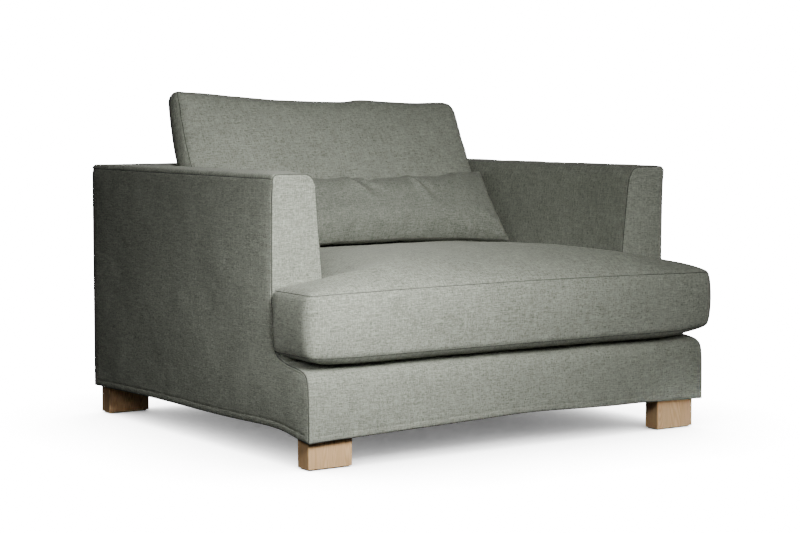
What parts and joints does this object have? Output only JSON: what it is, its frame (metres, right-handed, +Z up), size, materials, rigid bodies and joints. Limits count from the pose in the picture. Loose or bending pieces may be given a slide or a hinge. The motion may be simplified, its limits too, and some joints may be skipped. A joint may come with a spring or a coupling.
{
  "type": "upholstered armchair",
  "caption": "Deep, wide upholstered armchair with tapered box arms, T-shaped seat cushion, loose leaning back cushion, lumbar pillow, fitted hemmed cover and block feet.",
  "frame": {"origin": "on the floor, under the middle of the whole chair's box", "axes": "+X across the chair to the right as seen from the front, -Y out of the front, +Z up"},
  "size_m": [1.1, 1.068, 0.795],
  "materials": {
    "upholstery_cloth": "matt slubby linen weave",
    "oak": "oiled light oak, upright grain",
    "frame_timber": "sawn softwood",
    "fibreboard": "plain hardboard",
    "foam": "open-cell foam and fibre",
    "webbing": "woven elastic band",
    "lining": "spun lining cloth",
    "felt": "pressed felt",
    "spring_steel": "bare drawn wire",
    "zinc_steel": "zinc plated",
    "zip_metal": "enamelled",
    "zip_tape": "woven tape with coil"
  },
  "bodies": {
    "chair": {"back_foam": "foam", "back_inner_cover": "upholstery_cloth", "back_outer_board": "fibreboard", "back_outer_cover": "upholstery_cloth", "back_top_board": "frame_timber", "back_webbing": "webbing", "corner_blocks": "frame_timber", "cross_wires": "spring_steel", "deck_cover": "upholstery_cloth", "deck_pad": "foam", "dust_cover": "lining", "foot_bolts": "zinc_steel", "foot_glides": "felt", "frame_screws": "zinc_steel", "front_cover": "upholstery_cloth", "front_foam": "foam", "front_left_foot": "oak", "front_rail": "frame_timber", "front_right_foot": "oak", "left_arm_foam": "foam", "left_arm_front_cover": "upholstery_cloth", "left_arm_front_post": "frame_timber", "left_arm_inner_board": "fibreboard", "left_arm_rear_post": "frame_timber", "left_arm_top_board": "frame_timber", "left_arm_wrap_cover": "upholstery_cloth", "left_back_slope": "frame_timber", "left_back_upright": "frame_timber", "left_outer_board": "fibreboard", "left_side_cover": "upholstery_cloth", "left_side_rail": "frame_timber", "rear_left_foot": "oak", "rear_rail": "frame_timber", "rear_right_foot": "oak", "right_arm_foam": "foam", "right_arm_front_cover": "upholstery_cloth", "right_arm_front_post": "frame_timber", "right_arm_inner_board": "fibreboard", "right_arm_rear_post": "frame_timber", "right_arm_top_board": "frame_timber", "right_arm_wrap_cover": "upholstery_cloth", "right_back_slope": "frame_timber", "right_back_upright": "frame_timber", "right_outer_board": "fibreboard", "right_side_cover": "upholstery_cloth", "right_side_rail": "frame_timber", "seat_springs": "spring_steel", "spring_clips": "spring_steel", "spring_rail": "frame_timber"},
    "seat_cushion": {"seat_cushion_cover": "upholstery_cloth", "seat_cushion_filling": "foam", "seat_cushion_zip": "zip_tape"},
    "seat_zip_slider": {"seat_cushion_zip_slider": "zip_metal"},
    "back_cushion": {"back_cushion_cover": "upholstery_cloth", "back_cushion_filling": "foam", "back_cushion_zip": "zip_tape"},
    "back_zip_slider": {"back_cushion_zip_slider": "zip_metal"},
    "lumbar_pillow": {"lumbar_pillow_cover": "upholstery_cloth", "lumbar_pillow_filling": "foam"}
  },
  "joints": [
    {"name": "seat_cushion_lift", "type": "slide", "parent": "chair", "child": "seat_cushion", "axis": [0, 0, 1], "range_m": [0, 0.45]},
    {"name": "back_cushion_lift", "type": "slide", "parent": "seat_cushion", "child": "back_cushion", "axis": [0, 0, 1], "range_m": [0, 0.4]},
    {"name": "lumbar_pillow_lift", "type": "slide", "parent": "back_cushion", "child": "lumbar_pillow", "axis": [0, 0, 1], "range_m": [0, 0.4]},
    {"name": "seat_zip_slide", "type": "slide", "parent": "seat_cushion", "child": "seat_zip_slider", "axis": [1, 0, 0], "range_m": [0, 0.6]},
    {"name": "back_zip_slide", "type": "slide", "parent": "back_cushion", "child": "back_zip_slider", "axis": [1, 0, 0], "range_m": [0, 0.6]}
  ]
}
